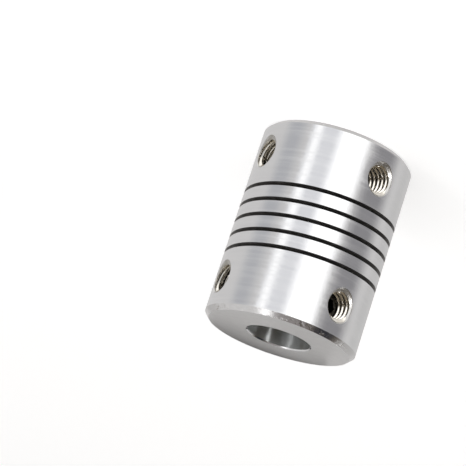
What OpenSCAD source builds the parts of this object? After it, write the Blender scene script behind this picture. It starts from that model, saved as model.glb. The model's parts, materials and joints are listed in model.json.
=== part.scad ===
// Helical beam coupling: a one-piece turned barrel with a helical slit, a shaft bore from each end
// and a pair of set screws in tapped radial holes at each end.
// Millimetres. Z is the shaft axis. The barrel stands on its small-bore end, and the origin is the
// centre of that end's face. The front, -Y, is midway between the two lower set screws.

/* [Barrel] */
// Outside diameter
barrel_d = 19; // [17:0.5:25]
// Length between the end faces
barrel_len = 25; // [24:0.5:34]
// Leg of the 45 degree chamfer round each end face
edge_chamfer = 0.6; // [0.2:0.1:0.8]

/* [Shaft bores] */
// Diameter of the bore at the upper end
upper_bore_d = 8; // [7:0.1:9.5]
// Diameter of the bore at the lower end
lower_bore_d = 5; // [4.5:0.1:6.5]
// Depth of the upper bore, from the upper face to the start of its drill cone
upper_bore_depth = 12; // [10:0.5:15]
// Point angle of the drill that leaves the cone between the two bores
drill_angle = 118; // [90:1:135]
// Leg of the 45 degree chamfer at the mouth of each bore
bore_chamfer = 0.15; // [0.05:0.05:0.4]

/* [Helical slit] */
// Width of the slit along the axis
slit_w = 0.5; // [0.3:0.05:0.8]
// Rise of the slit in one turn
slit_pitch = 2; // [1.6:0.1:2.2]
// Number of turns, centred on the length of the barrel
slit_turns = 5; // [3:0.5:5.5]
// Angle from the front to the middle of the slit, counter-clockwise from above
slit_phase = -12; // [-180:1:180]

/* [Tapped holes] */
// Nominal diameter of the thread
thread_d = 4; // [3:0.5:4.5]
// Width of the countersink round the mouth of each hole, counted along the radius
countersink_w = 0.2; // [0.05:0.05:0.4]
// Point angle of the countersink
countersink_angle = 100; // [82:1:120]
// Distance from each end face to the axis of its holes
screw_inset = 4.25; // [3.5:0.05:4.7]
// Angle between the two upper holes
upper_hole_angle = 106; // [70:1:140]
// Angle between the two lower holes, of which the left one is in line with the upper left one
lower_hole_angle = 101; // [70:1:140]

/* [Set screws] */
// Overall length
screw_len = 3; // [2.5:0.5:5]
// Radial clearance between a set screw and its hole
thread_clearance = 0.05; // [0.02:0.01:0.1]
// Gap left between the point of a set screw and the shaft bore
point_gap = 0.1; // [0:0.05:0.5]
// Leg of the 45 degree chamfer at the socket end
screw_chamfer = 0.4; // [0.1:0.05:0.4]
// Outside diameter of the cup point
point_d = 2.2; // [2.1:0.1:2.5]
// Diameter of the hollow in the cup point
cup_d = 1.9; // [1.2:0.1:2]
// Depth of the hollow in the cup point
cup_depth = 0.6; // [0.2:0.1:0.7]
// Width of the hexagon socket across its flats
socket_af = 2; // [1.5:0.1:2]
// Depth of the hexagon socket
socket_depth = 1.5; // [1:0.1:1.7]

/* [Hidden] */
$fn = 96;
front = -90;
left_angle = front - lower_hole_angle / 2;
upper_right_angle = left_angle + upper_hole_angle;
lower_right_angle = left_angle + lower_hole_angle;
// How far a cutter runs past the surface that it opens
cut_over = 0.5;
// Straight steps in one turn of the slit
slit_steps = 40;
upper_screw_z = barrel_len - screw_inset;
lower_screw_z = screw_inset;
bore_cone_h = (upper_bore_d - lower_bore_d) / 2 / tan(drill_angle / 2);
screw_r = thread_d / 2 - thread_clearance;
hexagon_corner_r = socket_af / 2 / cos(30);

// Half section of the barrel: outside with its end chamfers, then down the stepped bore
module barrel_blank() {
    outer_r = barrel_d / 2;
    upper_r = upper_bore_d / 2;
    lower_r = lower_bore_d / 2;
    step_z = barrel_len - upper_bore_depth;
    rotate_extrude()
        polygon([
            [lower_r + bore_chamfer, 0],
            [outer_r - edge_chamfer, 0],
            [outer_r, edge_chamfer],
            [outer_r, barrel_len - edge_chamfer],
            [outer_r - edge_chamfer, barrel_len],
            [upper_r + bore_chamfer, barrel_len],
            [upper_r, barrel_len - bore_chamfer],
            [upper_r, step_z],
            [lower_r, step_z - bore_cone_h],
            [lower_r, bore_chamfer]
        ]);
}

// Corners of the slit's cross-section at a number of turns above or below its middle
function slit_section(turn) =
    let (
        angle = front + slit_phase + 360 * turn,
        z = barrel_len / 2 + slit_pitch * turn,
        inner_r = lower_bore_d / 2 - cut_over,
        outer_r = barrel_d / 2 + cut_over
    )
    [for (corner = [[inner_r, -1], [outer_r, -1], [outer_r, 1], [inner_r, 1]])
        [corner[0] * cos(angle), corner[0] * sin(angle), z + corner[1] * slit_w / 2]];

// Right-handed helical cutter: the cross-section swept round the axis, closed at both ends
module helical_slit() {
    corners = len(slit_section(0));
    steps = ceil(slit_turns * slit_steps);
    points = [for (i = [0:steps]) each slit_section((i / steps - 0.5) * slit_turns)];
    start_cap = [for (k = [corners - 1:-1:0]) k];
    end_cap = [for (k = [0:corners - 1]) corners * steps + k];
    walls = [for (i = [0:steps - 1], k = [0:corners - 1])
        let (
            a = corners * i + k,
            b = corners * i + (k + 1) % corners,
            c = b + corners,
            d = a + corners
        )
        each [[a, b, c], [a, c, d]]];
    polyhedron(points, concat([start_cap, end_cap], walls));
}

// Places what is drawn along +Z on the radial axis of one screw, with Z counted from the shaft axis
module on_screw_axis(z, angle) {
    rotate([0, 0, angle])
        translate([0, 0, z])
            rotate([0, 90, 0])
                children();
}

// A hole at the thread's full diameter through one wall of the barrel, countersunk at its mouth
module tapped_hole(bore_d) {
    mouth = barrel_d / 2;
    inside_bore = bore_d / 4;
    slope = tan(countersink_angle / 2);
    cone_h = countersink_w / slope + cut_over;
    translate([0, 0, inside_bore])
        cylinder(d = thread_d, h = mouth - inside_bore + cut_over);
    translate([0, 0, mouth - countersink_w / slope])
        cylinder(r1 = thread_d / 2, r2 = thread_d / 2 + cone_h * slope, h = cone_h);
}

module barrel() {
    color("silver")
        difference() {
            barrel_blank();
            helical_slit();
            for (angle = [left_angle, upper_right_angle])
                on_screw_axis(upper_screw_z, angle)
                    tapped_hole(upper_bore_d);
            for (angle = [left_angle, lower_right_angle])
                on_screw_axis(lower_screw_z, angle)
                    tapped_hole(lower_bore_d);
        }
}

// Cup-point set screw along +Z, point down, with a hexagon socket whose mouth is eased
module screw_blank() {
    point_r = point_d / 2;
    difference() {
        rotate_extrude()
            polygon([
                [0, cup_depth],
                [cup_d / 2, 0],
                [point_r, 0],
                [screw_r, screw_r - point_r],
                [screw_r, screw_len - screw_chamfer],
                [screw_r - screw_chamfer, screw_len],
                [0, screw_len]
            ]);
        translate([0, 0, screw_len - socket_depth])
            cylinder(r = hexagon_corner_r, h = socket_depth + cut_over, $fn = 6);
        translate([0, 0, screw_len - (hexagon_corner_r - socket_af / 2)])
            cylinder(
                r1 = socket_af / 2,
                r2 = hexagon_corner_r + cut_over,
                h = hexagon_corner_r - socket_af / 2 + cut_over
            );
    }
}

// A set screw run in until its point is just short of the shaft bore
module set_screw(z, bore_d, angle) {
    color([0.1, 0.1, 0.1])
        on_screw_axis(z, angle)
            translate([0, 0, bore_d / 2 + point_gap])
                screw_blank();
}

module upper_left_set_screw() {
    set_screw(upper_screw_z, upper_bore_d, left_angle);
}

module upper_right_set_screw() {
    set_screw(upper_screw_z, upper_bore_d, upper_right_angle);
}

module lower_left_set_screw() {
    set_screw(lower_screw_z, lower_bore_d, left_angle);
}

module lower_right_set_screw() {
    set_screw(lower_screw_z, lower_bore_d, lower_right_angle);
}

barrel();
upper_left_set_screw();
upper_right_set_screw();
lower_left_set_screw();
lower_right_set_screw();
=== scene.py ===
"""Helical beam coupling: a bright turned aluminium barrel with black set screws, on a pale studio floor.

Metres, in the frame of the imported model: Z is the shaft axis, the barrel stands on its lower end at
Z = 0, and -Y is the front, midway between the two lower set screws.
"""
import json
import math

import bpy
import numpy as np
from mathutils import Matrix, Vector


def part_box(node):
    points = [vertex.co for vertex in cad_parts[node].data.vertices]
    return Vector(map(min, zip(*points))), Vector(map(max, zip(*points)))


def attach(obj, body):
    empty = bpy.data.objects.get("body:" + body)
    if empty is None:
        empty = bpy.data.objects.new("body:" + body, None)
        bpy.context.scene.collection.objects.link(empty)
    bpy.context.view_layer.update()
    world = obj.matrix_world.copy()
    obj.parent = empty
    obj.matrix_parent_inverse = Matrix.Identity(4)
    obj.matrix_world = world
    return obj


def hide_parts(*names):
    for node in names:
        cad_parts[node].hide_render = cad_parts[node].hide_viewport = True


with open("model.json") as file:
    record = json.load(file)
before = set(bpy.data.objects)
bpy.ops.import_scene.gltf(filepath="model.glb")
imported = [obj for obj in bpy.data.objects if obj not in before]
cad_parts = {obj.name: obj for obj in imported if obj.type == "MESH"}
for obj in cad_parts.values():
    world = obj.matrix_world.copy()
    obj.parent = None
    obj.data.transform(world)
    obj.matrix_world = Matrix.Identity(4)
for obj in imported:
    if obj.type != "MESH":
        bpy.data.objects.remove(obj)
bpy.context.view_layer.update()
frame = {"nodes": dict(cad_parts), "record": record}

MM = 0.001

# Sizes read from the frame, to a hundredth of a millimetre
barrel_low, barrel_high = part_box("barrel")
mounts = {mount["name"]: mount for mount in frame["record"]["mounts"]}
BARREL_R = round((barrel_high.x - barrel_low.x) / 2, 5)
BARREL_LEN = round(barrel_high.z - barrel_low.z, 5)
UPPER_BORE_R = mounts["upper_shaft_bore"]["dims"]["r_mm"] * MM
LOWER_BORE_R = mounts["lower_shaft_bore"]["dims"]["r_mm"] * MM

# Barrel
EDGE_CHAMFER = 0.6 * MM
BORE_CHAMFER = 0.15 * MM
UPPER_BORE_DEPTH = 12.0 * MM
DRILL_ANGLE = math.radians(118)
SLIT_PITCH = 2.0 * MM

# Tapped holes: the angles of their axes about Z, with the front midway between the two lower ones
FRONT_ANGLE = math.radians(-90)
UPPER_HOLE_ANGLE = math.radians(106)
LOWER_HOLE_ANGLE = math.radians(101)
LEFT_ANGLE = FRONT_ANGLE - LOWER_HOLE_ANGLE / 2
UPPER_RIGHT_ANGLE = LEFT_ANGLE + UPPER_HOLE_ANGLE
LOWER_RIGHT_ANGLE = LEFT_ANGLE + LOWER_HOLE_ANGLE

# Tapped holes: their distance from the end faces, and the countersink
SCREW_INSET = 4.25 * MM
HOLE_R = 2.0 * MM
COUNTERSINK_W = 0.2 * MM
COUNTERSINK_ANGLE = math.radians(100)
COUNTERSINK_SLOPE = math.tan(COUNTERSINK_ANGLE / 2)
MOUTH_R = HOLE_R + COUNTERSINK_W

# Thread of 4 mm, with the ends of its flank in half pitches from the middle of a crest, the thickness of
# the sheet that carries it, and the cone that opens it at the mouth
THREAD_PITCH = 0.7 * MM
THREAD_START = 0.37 * MM
GROOVE_R = 1.995 * MM
CREST_R = 1.62 * MM
CREST_EDGE = 1 / 4
GROOVE_EDGE = 7 / 8
THREAD_WALL = 0.03 * MM
LEAD_IN_ANGLE = math.radians(130)
LEAD_IN_SLOPE = math.tan(LEAD_IN_ANGLE / 2)

# Set screws
SCREW_LEN = 3.0 * MM
SCREW_R = 1.95 * MM
SCREW_CHAMFER = 0.4 * MM
THREAD_CLEARANCE = GROOVE_R - SCREW_R
POINT_GAP = 0.1 * MM
POINT_R = 1.1 * MM
CUP_R = 0.95 * MM
CUP_DEPTH = 0.6 * MM
SOCKET_FLAT_R = 1.0 * MM
SOCKET_DEPTH = 1.5 * MM
SOCKET_CONE = 0.2 * MM
POLE_R = 0.02 * MM

# Steps round a thread and along one pitch of it, and the angles past which an edge stays sharp
ROUND_STEPS = 72
PITCH_STEPS = 32
THREAD_SHARP_ANGLE = math.radians(50)
SCREW_SHARP_ANGLE = math.radians(40)

# Each tapped hole: the angle of its axis about Z, its height and the radius of the bore that it meets
HOLES = {
    "upper_left": (LEFT_ANGLE, BARREL_LEN - SCREW_INSET, UPPER_BORE_R),
    "upper_right": (UPPER_RIGHT_ANGLE, BARREL_LEN - SCREW_INSET, UPPER_BORE_R),
    "lower_left": (LEFT_ANGLE, SCREW_INSET, LOWER_BORE_R),
    "lower_right": (LOWER_RIGHT_ANGLE, SCREW_INSET, LOWER_BORE_R),
}

# The photograph's view: the camera's place, its turn about Z, tilt and roll, its lens and its range
CAMERA_PLACE = Vector((-56.57, -255.21, 89.67)) * MM
CAMERA_AZIMUTH = math.radians(-14.52)
CAMERA_ELEVATION = math.radians(16.105)
CAMERA_ROLL = math.radians(161.6)
CAMERA_LENS = 172.1
CAMERA_SENSOR = 36.0
CAMERA_NEAREST = 0.01
CAMERA_FARTHEST = 20.0


def unit(vectors):
    """Each vector over its length."""
    return vectors / np.linalg.norm(vectors, axis=-1, keepdims=True)


def radial_axes(angle):
    """Unit vectors at an angle about Z: straight out from the shaft axis, across that and up."""
    out = np.array([math.cos(angle), math.sin(angle), 0.0])
    across = np.array([-math.sin(angle), math.cos(angle), 0.0])
    return out, across, np.array([0.0, 0.0, 1.0])


def round_screw_axis(angle, height, depth, radius, turn):
    """Points at a depth from the shaft axis, and at a radius and turn about a screw's own axis."""
    out, across, up = radial_axes(angle)
    return (
        height * up
        + depth[..., None] * out
        + (radius * np.cos(turn))[..., None] * across
        + (radius * np.sin(turn))[..., None] * up
    )


def thread_radius(depth, turn):
    """Metric thread of a tapped hole, right-handed along the screw's axis. With u the distance from the
    middle of the nearest crest in half pitches, the radius is the crest's up to u = CREST_EDGE, grows
    evenly down the flank and is the groove's from u = GROOVE_EDGE."""
    pitches = (depth - THREAD_START) / THREAD_PITCH - turn / (2 * math.pi)
    from_crest = 2 * abs(pitches - np.round(pitches))
    flank = np.clip((from_crest - CREST_EDGE) / (GROOVE_EDGE - CREST_EDGE), 0, 1)
    return CREST_R + (GROOVE_R - CREST_R) * flank


def new_piece(name, points, faces, materials, sharp_angle):
    """A mesh object with smooth faces and edges kept sharp past an angle."""
    mesh = bpy.data.meshes.new(name)
    mesh.from_pydata(points.tolist(), [], faces, shade_flat=False)
    mesh.set_sharp_from_angle(angle=sharp_angle)
    for material in materials:
        mesh.materials.append(material)
    piece = bpy.data.objects.new(name, mesh)
    bpy.context.scene.collection.objects.link(piece)
    return piece


def ring_faces(rings, steps, closed):
    """Quads between neighbouring rings of a grid that is closed round each ring, and from the
    last ring to the first where closed."""
    ring = np.arange(rings if closed else rings - 1)[:, None]
    step = np.arange(steps)[None, :]
    after_ring = (ring + 1) % rings
    after_step = (step + 1) % steps
    corners = (
        ring * steps + step,
        ring * steps + after_step,
        after_ring * steps + after_step,
        after_ring * steps + step,
    )
    return np.stack(np.broadcast_arrays(*corners), axis=-1).reshape(-1, 4).tolist()


def new_nodes(tree, *kinds):
    """New shader nodes of the kinds given, in order."""
    return [tree.nodes.new("ShaderNode" + kind) for kind in kinds]


def feed(tree, socket, term):
    """Link a socket to another node's output, or set it to a value."""
    if isinstance(term, bpy.types.NodeSocket):
        tree.links.new(term, socket)
    else:
        socket.default_value = term


def calculate(tree, operation, *terms):
    """Result of one sum on sockets and numbers."""
    (node,) = new_nodes(tree, "Math")
    node.operation = operation
    for socket, term in zip(node.inputs, terms):
        feed(tree, socket, term)
    return node.outputs["Value"]


def ranged(tree, value, limits, results, interpolation="LINEAR"):
    """A value's run between two limits spread over two results, and level outside the limits."""
    (spread,) = new_nodes(tree, "MapRange")
    spread.interpolation_type = interpolation
    spread.inputs["From Min"].default_value, spread.inputs["From Max"].default_value = limits
    spread.inputs["To Min"].default_value, spread.inputs["To Max"].default_value = results
    tree.links.new(value, spread.inputs["Value"])
    return spread.outputs["Result"]


def blended(tree, factor, first, second):
    """A colour between two, each a socket or a colour."""
    (mix,) = new_nodes(tree, "Mix")
    mix.data_type = "RGBA"
    sockets = [socket for socket in mix.inputs if socket.type == "RGBA"]
    for socket, term in zip(sockets, (first, second)):
        feed(tree, socket, (*term, 1.0) if isinstance(term, tuple) else term)
    tree.links.new(factor, mix.inputs["Factor"])
    return next(socket for socket in mix.outputs if socket.type == "RGBA")


def noise(tree, scale, detail):
    """Noise on Object coordinates, with its own number of waves a metre along each axis."""
    place, mapping, texture = new_nodes(tree, "TexCoord", "Mapping", "TexNoise")
    mapping.inputs["Scale"].default_value = scale
    texture.inputs["Scale"].default_value = 1.0
    texture.inputs["Detail"].default_value = detail
    tree.links.new(place.outputs["Object"], mapping.inputs["Vector"])
    tree.links.new(mapping.outputs["Vector"], texture.inputs["Vector"])
    return texture.outputs["Fac"]


# Limits of the noise that a finish uses: its common values, all of them, and only its peaks
NOISE_MIDDLE = (0.38, 0.62)
NOISE_WHOLE = (0.0, 1.0)
NOISE_PEAKS = (0.55, 0.72)


def metal(name, colours, colour_noise, rough, rough_noise, reliefs, across_marks=0.0):
    """A bare metal: colour and roughness vary with noise, fine reliefs break its reflections, and the
    marks of a tool that goes round Z stretch them across the marks. A relief is its height in metres,
    its noise and the limits of that noise."""
    quarter_turn = 0.25
    material = bpy.data.materials.new(name)
    material.use_nodes = True
    tree = material.node_tree
    shader = tree.nodes["Principled BSDF"]
    shader.inputs["Metallic"].default_value = 1.0
    tint = ranged(tree, noise(tree, *colour_noise), NOISE_MIDDLE, (0.0, 1.0))
    tree.links.new(blended(tree, tint, *colours), shader.inputs["Base Color"])
    roughness = ranged(tree, noise(tree, *rough_noise), NOISE_MIDDLE, rough)
    tree.links.new(roughness, shader.inputs["Roughness"])
    height = 0.0
    for relief, relief_noise, limits in reliefs:
        rise = ranged(tree, noise(tree, *relief_noise), limits, (0.0, relief))
        height = calculate(tree, "ADD", rise, height)
    (bump,) = new_nodes(tree, "Bump")
    bump.inputs["Strength"].default_value = 1.0
    bump.inputs["Distance"].default_value = 1.0
    tree.links.new(height, bump.inputs["Height"])
    tree.links.new(bump.outputs["Normal"], shader.inputs["Normal"])
    if across_marks:
        shader.inputs["Anisotropic"].default_value = across_marks
        shader.inputs["Anisotropic Rotation"].default_value = quarter_turn
        (tangent,) = new_nodes(tree, "Tangent")
        tangent.direction_type = "RADIAL"
        tangent.axis = "Z"
        tree.links.new(tangent.outputs["Tangent"], shader.inputs["Tangent"])
    return material


# Noise in waves a metre along X, Y and Z, and its detail
TURNING_LINES = ((70.0, 70.0, 2900.0), 2.0)
FINE_GRAIN = ((9000.0, 9000.0, 9000.0), 2.0)
COARSE_GRAIN = ((1500.0, 1500.0, 1500.0), 2.0)
HANDLING_DENTS = ((1900.0, 1900.0, 1300.0), 3.0)
EDGE_NICKS = ((1100.0, 1100.0, 1600.0), 4.0)

turned_aluminium = metal(
    "turned_aluminium",
    colours=((0.818, 0.818, 0.826), (0.848, 0.848, 0.853)),
    colour_noise=TURNING_LINES,
    rough=(0.04, 0.25),
    rough_noise=TURNING_LINES,
    reliefs=((6e-6, HANDLING_DENTS, NOISE_WHOLE), (0.5e-6, FINE_GRAIN, NOISE_WHOLE)),
    across_marks=0.4,
)
chamfered_aluminium = metal(
    "chamfered_aluminium",
    colours=((0.79, 0.78, 0.78), (0.83, 0.82, 0.82)),
    colour_noise=COARSE_GRAIN,
    rough=(0.12, 0.24),
    rough_noise=FINE_GRAIN,
    reliefs=((-40e-6, EDGE_NICKS, NOISE_PEAKS), (1e-6, FINE_GRAIN, NOISE_WHOLE)),
)
faced_aluminium = metal(
    "faced_aluminium",
    colours=((0.815, 0.806, 0.803), (0.845, 0.836, 0.833)),
    colour_noise=COARSE_GRAIN,
    rough=(0.30, 0.40),
    rough_noise=FINE_GRAIN,
    reliefs=((1e-6, FINE_GRAIN, NOISE_WHOLE),),
    across_marks=0.5,
)
# The bore's walls: its colour is kept much darker than the barrel's as painted shade for the inside of
# the bore; its roughness and strong stretch across the boring marks are the bored finish's own
bored_aluminium_painted_shade = metal(
    "bored_aluminium_painted_shade",
    colours=((0.55, 0.565, 0.565), (0.60, 0.615, 0.615)),
    colour_noise=COARSE_GRAIN,
    rough=(0.38, 0.44),
    rough_noise=COARSE_GRAIN,
    reliefs=((0.05e-6, FINE_GRAIN, NOISE_WHOLE),),
    across_marks=1.0,
)
sawn_aluminium = metal(
    "sawn_aluminium",
    colours=((0.46, 0.45, 0.44), (0.56, 0.55, 0.54)),
    colour_noise=COARSE_GRAIN,
    rough=(0.35, 0.5),
    rough_noise=FINE_GRAIN,
    reliefs=((1.5e-6, FINE_GRAIN, NOISE_WHOLE),),
)
tapped_aluminium = metal(
    "tapped_aluminium",
    colours=((0.86, 0.815, 0.73), (0.93, 0.895, 0.83)),
    colour_noise=COARSE_GRAIN,
    rough=(0.10, 0.18),
    rough_noise=FINE_GRAIN,
    reliefs=((0.8e-6, FINE_GRAIN, NOISE_WHOLE),),
)
countersunk_aluminium = metal(
    "countersunk_aluminium",
    colours=((0.585, 0.575, 0.555), (0.665, 0.655, 0.635)),
    colour_noise=COARSE_GRAIN,
    rough=(0.30, 0.42),
    rough_noise=FINE_GRAIN,
    reliefs=((1e-6, FINE_GRAIN, NOISE_WHOLE),),
)
black_oxide_steel = metal(
    "black_oxide_steel",
    colours=((0.060, 0.056, 0.050), (0.090, 0.084, 0.075)),
    colour_noise=COARSE_GRAIN,
    rough=(0.24, 0.36),
    rough_noise=FINE_GRAIN,
    reliefs=((1e-6, FINE_GRAIN, NOISE_WHOLE),),
)


def node_triangles(node):
    """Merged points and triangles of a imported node, without triangles that merge to a line."""
    merge_digits = 7
    mesh = frame["nodes"][node].data
    places = np.empty(len(mesh.vertices) * 3)
    mesh.vertices.foreach_get("co", places)
    corners = np.empty(len(mesh.loops), int)
    mesh.loops.foreach_get("vertex_index", corners)
    points, merged = np.unique(places.reshape(-1, 3).round(merge_digits), axis=0, return_inverse=True)
    triangles = merged.reshape(-1)[corners].reshape(-1, 3)
    first, second, third = triangles.T
    whole = (first != second) & (second != third) & (third != first)
    return points, triangles[whole]


def barrel_surfaces(corners):
    """The barrel's true surfaces: how far each corner is from one, its normal there, and its finish.

    A cylinder has the radial direction as its normal, a cone tilts it along the axis, and the slit's
    walls are helicoids, whose normal leans back against the turn by pitch / (2 pi radius). A corner
    across the shaft axis from a hole counts as a metre away from it."""
    x, y, z = np.moveaxis(corners, -1, 0)
    radius = np.hypot(x, y)
    zero = np.zeros_like(x)
    radial = np.stack([x, y, zero], -1) / radius[..., None]
    around = np.stack([-y, x, zero], -1) / radius[..., None]
    up = np.broadcast_to([0.0, 0.0, 1.0], corners.shape)
    drill_slope = math.tan(DRILL_ANGLE / 2)
    step_z = BARREL_LEN - UPPER_BORE_DEPTH
    yield abs(radius - BARREL_R), radial, turned_aluminium
    yield abs(radius + z - BARREL_R - BARREL_LEN + EDGE_CHAMFER), unit(radial + up), chamfered_aluminium
    yield abs(radius - z - BARREL_R + EDGE_CHAMFER), unit(radial - up), chamfered_aluminium
    yield abs(z - BARREL_LEN), up, faced_aluminium
    yield abs(z), -up, faced_aluminium
    # The bore's walls and drill cone take the bored finish, whose darker colour is painted shade for the
    # inside of the bore
    yield abs(radius - UPPER_BORE_R), -radial, bored_aluminium_painted_shade
    yield abs(radius - LOWER_BORE_R), -radial, bored_aluminium_painted_shade
    drill_cone = radius - UPPER_BORE_R - (z - step_z) * drill_slope
    yield abs(drill_cone), unit(drill_slope * up - radial), bored_aluminium_painted_shade
    yield abs(radius - UPPER_BORE_R - BORE_CHAMFER - z + BARREL_LEN), unit(up - radial), turned_aluminium
    yield abs(radius - LOWER_BORE_R - BORE_CHAMFER + z), unit(-up - radial), turned_aluminium
    for angle, height, _ in HOLES.values():
        out, across, _ = radial_axes(angle)
        depth = corners @ out
        sideways = corners @ across
        behind = np.where(depth > 0, 0.0, 1.0)
        hole_radius = np.hypot(sideways, z - height)
        inwards = -(sideways[..., None] * across + (z - height)[..., None] * up)
        inwards = inwards / np.maximum(hole_radius, HOLE_R / 2)[..., None]
        yield abs(hole_radius - HOLE_R) + behind, inwards, tapped_aluminium
        mouth_cone = hole_radius - MOUTH_R - (depth - BARREL_R) * COUNTERSINK_SLOPE
        yield abs(mouth_cone) + behind, unit(inwards + COUNTERSINK_SLOPE * out), countersunk_aluminium
    helicoid = unit(up - SLIT_PITCH / (2 * math.pi * radius)[..., None] * around)
    yield zero, helicoid, sawn_aluminium
    yield zero, -helicoid, sawn_aluminium


def turned_barrel():
    """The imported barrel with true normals: each triangle takes the normals of the first surface that
    its three corners lie on and that faces its way, and the finish of that surface."""
    on_surface = 2e-6
    facing = 0.9
    points, triangles = node_triangles("barrel")
    corners = points[triangles]
    flat = unit(np.cross(corners[:, 1] - corners[:, 0], corners[:, 2] - corners[:, 0]))
    normals = np.repeat(flat[:, None, :], 3, axis=1)
    finishes = [
        turned_aluminium,
        chamfered_aluminium,
        faced_aluminium,
        bored_aluminium_painted_shade,
        sawn_aluminium,
        tapped_aluminium,
        countersunk_aluminium,
    ]
    finish = np.full(len(triangles), finishes.index(sawn_aluminium))
    found = np.zeros(len(triangles), bool)
    for distance, normal, material in barrel_surfaces(corners):
        agrees = np.einsum("tk,tck->tc", flat, normal).min(axis=1) > facing
        fits = ~found & agrees & (distance.max(axis=1) < on_surface)
        normals[fits] = normal[fits]
        finish[fits] = finishes.index(material)
        found |= fits
    piece = new_piece("turned_barrel", points, triangles.tolist(), finishes, math.pi)
    piece.data.polygons.foreach_set("material_index", finish)
    piece.data.normals_split_custom_set(normals.reshape(-1, 3).tolist())
    return piece


def tapped_thread(name, angle, height, bore_r):
    """The thread of one tapped hole: inside, thread_radius() opened by a lead-in cone at the mouth;
    outside, a plain wall just behind the hole's own; from the shaft bore to the mouth, which is where
    the countersink meets the groove, or just under the barrel's surface where that is lower."""
    wall_r = HOLE_R + THREAD_WALL
    cone_end = BARREL_R - (MOUTH_R - GROOVE_R) / COUNTERSINK_SLOPE
    rings = int((cone_end - bore_r / 2) / THREAD_PITCH * PITCH_STEPS)
    turn = np.linspace(0, 2 * math.pi, ROUND_STEPS, endpoint=False)[None, :]
    start = np.sqrt(bore_r**2 - (CREST_R * np.cos(turn)) ** 2)
    under_surface = np.sqrt(BARREL_R**2 - (wall_r * np.cos(turn)) ** 2) - THREAD_WALL / 2
    mouth = np.minimum(cone_end, under_surface)
    depth = start + np.linspace(0, 1, rings)[:, None] * (mouth - start)
    lead_in_r = GROOVE_R - (cone_end - depth) * LEAD_IN_SLOPE
    turns_r = thread_radius(depth, turn)
    inner_r = np.maximum(turns_r, lead_in_r)
    depth = np.concatenate([depth, depth[-1:], depth[:1]])
    radius = np.concatenate([inner_r, np.full((2, ROUND_STEPS), wall_r)])
    points = round_screw_axis(angle, height, depth, radius, np.broadcast_to(turn, depth.shape))
    faces = ring_faces(len(depth), ROUND_STEPS, closed=True)
    finishes = [tapped_aluminium, countersunk_aluminium]
    finish = np.full(depth.shape, finishes.index(tapped_aluminium))
    finish[:rings][lead_in_r > turns_r] = finishes.index(countersunk_aluminium)
    piece = new_piece(name, points.reshape(-1, 3), faces, finishes, THREAD_SHARP_ANGLE)
    piece.data.polygons.foreach_set("material_index", finish.ravel())
    return piece


def set_screw(name, angle, height, bore_r):
    """One set screw, ring by ring from the cup's centre to the socket's: the cup and the point, the
    thread cut back by the cones at both ends, the end face, and the socket, whose radius at a turn is
    flat / cos(turn within a sixth)."""
    point = bore_r + POINT_GAP
    end = point + SCREW_LEN
    turn = np.linspace(0, 2 * math.pi, ROUND_STEPS, endpoint=False)[None, :]
    level = np.ones_like(turn)
    sixth = math.pi / 3
    hexagon_r = SOCKET_FLAT_R / np.cos(np.mod(turn, sixth) - sixth / 2)
    corner_r = SOCKET_FLAT_R / math.cos(sixth / 2)
    rings = int(SCREW_LEN / THREAD_PITCH * PITCH_STEPS)
    depth = (point + np.linspace(0, SCREW_LEN, rings)[:, None]) * level
    point_cone = POINT_R + (depth - point)
    end_cone = SCREW_R - SCREW_CHAMFER + (end - depth)
    thread = thread_radius(depth, turn) - THREAD_CLEARANCE
    thread = np.minimum(thread, np.minimum(point_cone, end_cone))
    profile = [
        (POLE_R * level, (point + CUP_DEPTH) * level),
        (CUP_R * level, point * level),
        *zip(thread[:, None], depth[:, None]),
        (corner_r * level, end * level),
        (hexagon_r, end - (corner_r - hexagon_r)),
        (hexagon_r, (end - SOCKET_DEPTH) * level),
        (POLE_R * level, (end - SOCKET_DEPTH - SOCKET_CONE) * level),
    ]
    radius = np.concatenate([ring_radius for ring_radius, _ in profile])
    depth = np.concatenate([ring_depth for _, ring_depth in profile])
    points = round_screw_axis(angle, height, depth, radius, np.broadcast_to(turn, depth.shape))
    faces = ring_faces(len(depth), ROUND_STEPS, closed=False)
    last = (len(depth) - 1) * ROUND_STEPS
    faces.append(list(range(ROUND_STEPS))[::-1])
    faces.append(list(range(last, last + ROUND_STEPS)))
    return new_piece(name, points.reshape(-1, 3), faces, [black_oxide_steel], SCREW_SHARP_ANGLE)


def dress_coupling():
    """Barrel, threads and set screws, each riding on the coupling's one body."""
    barrel = turned_barrel()
    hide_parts("barrel")
    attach(barrel, "root")
    for place, (angle, height, bore_r) in HOLES.items():
        thread = tapped_thread(f"{place}_tapped_thread", angle, height, bore_r)
        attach(thread, "root")
        screw = set_screw(f"{place}_socket_screw", angle, height, bore_r)
        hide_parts(f"{place}_set_screw")
        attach(screw, "root")


def photo_camera():
    """The camera at the photograph's viewing angle, rolled about its own line of sight."""
    data = bpy.data.cameras.new("photo_camera")
    data.sensor_width = CAMERA_SENSOR
    data.lens = CAMERA_LENS
    data.clip_start = CAMERA_NEAREST
    data.clip_end = CAMERA_FARTHEST
    camera = bpy.data.objects.new("photo_camera", data)
    level_turn = Matrix.Rotation(CAMERA_AZIMUTH, 4, "Z")
    tilt = Matrix.Rotation(math.pi / 2 - CAMERA_ELEVATION, 4, "X")
    roll = Matrix.Rotation(-CAMERA_ROLL, 4, "Z")
    camera.matrix_world = Matrix.Translation(CAMERA_PLACE) @ level_turn @ tilt @ roll
    bpy.context.scene.collection.objects.link(camera)
    bpy.context.scene.camera = camera


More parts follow.
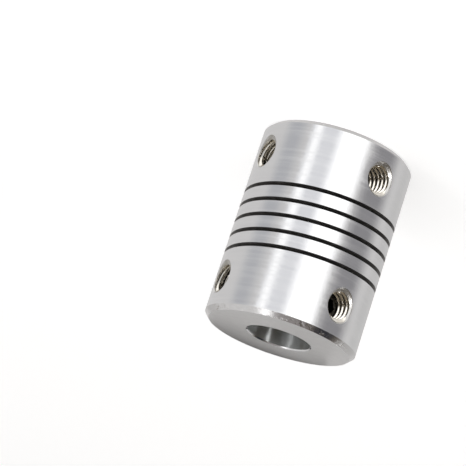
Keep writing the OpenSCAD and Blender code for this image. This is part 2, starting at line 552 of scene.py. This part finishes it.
# Light cards over the surroundings: each one's edges in degrees round Z from the camera towards the
# picture's right and the fade there, its lower and upper edge in degrees of elevation and the fade
# there, and its colour. A later card covers an earlier one. LOWEST, HIGHEST and ALL_ROUND reach past
# straight down, straight up and a whole turn, so that no fade shows there.
SURROUNDINGS = (0.655, 0.645, 0.64)
LOWEST, HIGHEST = -120, 120
ALL_ROUND = (-400, 400, 1)
LIGHT_CARDS = {
    "upper_walls": (ALL_ROUND, (8, HIGHEST, 12), (0.51, 0.503, 0.496)),
    "left_sky": ((-170, -41, 10), (24, HIGHEST, 16), (0.66, 0.655, 0.65)),
    "high_lamp": ((-74, -50, 12), (57, 80, 8), (1.6, 1.6, 1.6)),
    "dark_bench": ((-12, 118, 16), (4, HIGHEST, 6), (0.088, 0.071, 0.053)),
    "bench_front": ((20, 90, 12), (26, 42, 8), (0.19, 0.16, 0.12)),
    "bench_end": ((-42, 72, 26), (60, HIGHEST, 8), (0.28, 0.262, 0.257)),
    "dark_corner": ((78, 110, 12), (44, 66, 10), (0.022, 0.024, 0.032)),
    "left_flag": ((-91, -62, 22), (LOWEST, 4, 8), (0.49, 0.495, 0.515)),
    "left_fill": ((-50, 4, 12), (LOWEST, 4, 8), (0.80, 0.805, 0.83)),
    "strip_light": ((-46, -34, 12), (LOWEST, 25, 8), (1.22, 1.22, 1.22)),
    "right_wall": ((118, 166, 20), (-40, 8, 10), (0.59, 0.582, 0.576)),
    "low_sky": ((34, 132, 16), (LOWEST, -35, 10), (0.74, 0.735, 0.73)),
    "left_low_sky": ((-140, -66, 16), (LOWEST, -32, 10), (1.1, 1.1, 1.1)),
    "left_bench": ((-138, -84, 10), (6, 24, 6), (0.25, 0.222, 0.172)),
    "right_flag": ((48, 95, 28), (-35, 6, 8), (0.285, 0.28, 0.29)),
    "right_strip": ((98, 106, 4), (25, 31, 4), (9.0, 9.0, 9.0)),
    "left_strip": ((-52, -44, 4), (8, 56, 8), (3.4, 3.4, 3.4)),
    "softbox": ((-5, 38, 20), (LOWEST, 10, 8), (1.45, 1.45, 1.45)),
    "bore_lamp": ((31, 39, 4), (6, 20, 4), (13.0, 13.0, 13.0)),
    "dim_ground": (ALL_ROUND, (LOWEST, -66, 10), (0.62, 0.612, 0.605)),
}


def band(tree, value, low, high, fade):
    """1 between two limits, falling smoothly to 0 over a fade centred on each."""
    half = (high - low) / 2
    away = calculate(tree, "ABSOLUTE", calculate(tree, "SUBTRACT", value, (low + high) / 2))
    return ranged(tree, away, (half - fade / 2, half + fade / 2), (1.0, 0.0), "SMOOTHSTEP")


def studio_world():
    """Surroundings with the light cards, which the metal shows as streaks along the barrel and in the
    bore, and as the light and dark parts of the chamfers and threads. The camera sees plain white."""
    world = bpy.data.worlds.new("studio")
    bpy.context.scene.world = world
    world.use_nodes = True
    tree = world.node_tree
    place, ahead, rightwards, apart, rays = new_nodes(
        tree, "TexCoord", "VectorMath", "VectorMath", "SeparateXYZ", "LightPath"
    )
    to_camera = (math.sin(CAMERA_AZIMUTH), -math.cos(CAMERA_AZIMUTH), 0.0)
    to_right = (-math.cos(CAMERA_AZIMUTH), -math.sin(CAMERA_AZIMUTH), 0.0)
    for dot, direction in ((ahead, to_camera), (rightwards, to_right)):
        dot.operation = "DOT_PRODUCT"
        dot.inputs[1].default_value = direction
        tree.links.new(place.outputs["Generated"], dot.inputs[0])
    tree.links.new(place.outputs["Generated"], apart.inputs["Vector"])
    turn = calculate(tree, "ARCTAN2", rightwards.outputs["Value"], ahead.outputs["Value"])
    turn = calculate(tree, "DEGREES", turn)
    elevation = calculate(tree, "DEGREES", calculate(tree, "ARCSINE", apart.outputs["Z"]))
    colour = SURROUNDINGS
    for sides, heights, card_colour in LIGHT_CARDS.values():
        mask = calculate(tree, "MULTIPLY", band(tree, turn, *sides), band(tree, elevation, *heights))
        colour = blended(tree, mask, colour, card_colour)
    colour = blended(tree, rays.outputs["Is Camera Ray"], colour, (1.0, 1.0, 1.0))
    tree.links.new(colour, tree.nodes["Background"].inputs["Color"])


def studio_sheet(name, corners):
    """A flat sheet of the studio with four corners, and the empty node tree of its material."""
    mesh = bpy.data.meshes.new(name)
    mesh.from_pydata(corners, [], [(0, 1, 2, 3)])
    sheet = bpy.data.objects.new(name, mesh)
    bpy.context.scene.collection.objects.link(sheet)
    material = bpy.data.materials.new(name)
    material.use_nodes = True
    material.node_tree.nodes.clear()
    mesh.materials.append(material)
    return sheet, material.node_tree


FLOOR_SIZE = 6.0
FLOOR_COLOUR = (0.8, 0.8, 0.8, 1.0)
FLOOR_LIFT = 0.5


def studio_floor():
    """A pale floor that takes the soft shadow; what the camera sees of it is lifted towards white."""
    half = FLOOR_SIZE / 2
    corners = [(-half, -half, 0.0), (half, -half, 0.0), (half, half, 0.0), (-half, half, 0.0)]
    floor, tree = studio_sheet("studio_floor", corners)
    floor.visible_glossy = False
    floor.visible_shadow = False
    rays, diffuse, glow, both, output = new_nodes(
        tree, "LightPath", "BsdfDiffuse", "Emission", "AddShader", "OutputMaterial"
    )
    diffuse.inputs["Color"].default_value = FLOOR_COLOUR
    lift = calculate(tree, "MULTIPLY", rays.outputs["Is Camera Ray"], FLOOR_LIFT)
    tree.links.new(lift, glow.inputs["Strength"])
    tree.links.new(diffuse.outputs["BSDF"], both.inputs[0])
    tree.links.new(glow.outputs["Emission"], both.inputs[1])
    tree.links.new(both.outputs["Shader"], output.inputs["Surface"])


# The flag's direction from the shaft axis, its distance from it, its size and its colour
FLAG_ANGLE = math.radians(72)
FLAG_DISTANCE = 12.0 * MM
FLAG_WIDTH = 16.0 * MM
FLAG_HEIGHT = 2.2 * MM
FLAG_COLOUR = (0.02, 0.02, 0.02, 1.0)


def end_face_flag():
    """A low black flag close behind the upper end, seen only in reflections. It shades the far side of
    the end face and fades towards the near side."""
    out, across, up = radial_axes(FLAG_ANGLE)
    foot = FLAG_DISTANCE * out + BARREL_LEN * up
    left = foot - FLAG_WIDTH / 2 * across
    right = foot + FLAG_WIDTH / 2 * across
    rise = FLAG_HEIGHT * up
    flag, tree = studio_sheet("end_face_flag", [left, right, right + rise, left + rise])
    flag.visible_camera = False
    flag.visible_diffuse = False
    flag.visible_shadow = False
    diffuse, output = new_nodes(tree, "BsdfDiffuse", "OutputMaterial")
    diffuse.inputs["Color"].default_value = FLAG_COLOUR
    tree.links.new(diffuse.outputs["BSDF"], output.inputs["Surface"])


LAMP_PLACE = Vector((-0.10, -0.40, 0.50))
LAMP_SIZE = 0.5
LAMP_WATTS = 1.2


def overhead_lamp():
    """A large soft lamp above the camera, so that the shadow falls behind the coupling."""
    data = bpy.data.lights.new("overhead_softbox", "AREA")
    data.size = LAMP_SIZE
    data.energy = LAMP_WATTS
    lamp = bpy.data.objects.new("overhead_softbox", data)
    lamp.location = LAMP_PLACE
    to_coupling = Vector((0, 0, BARREL_LEN / 2)) - LAMP_PLACE
    lamp.rotation_euler = to_coupling.to_track_quat("-Z", "Y").to_euler()
    lamp.visible_glossy = False
    bpy.context.scene.collection.objects.link(lamp)


bpy.context.scene.view_settings.view_transform = "Standard"
photo_camera()
dress_coupling()
studio_world()
studio_floor()
end_face_flag()
overhead_lamp()
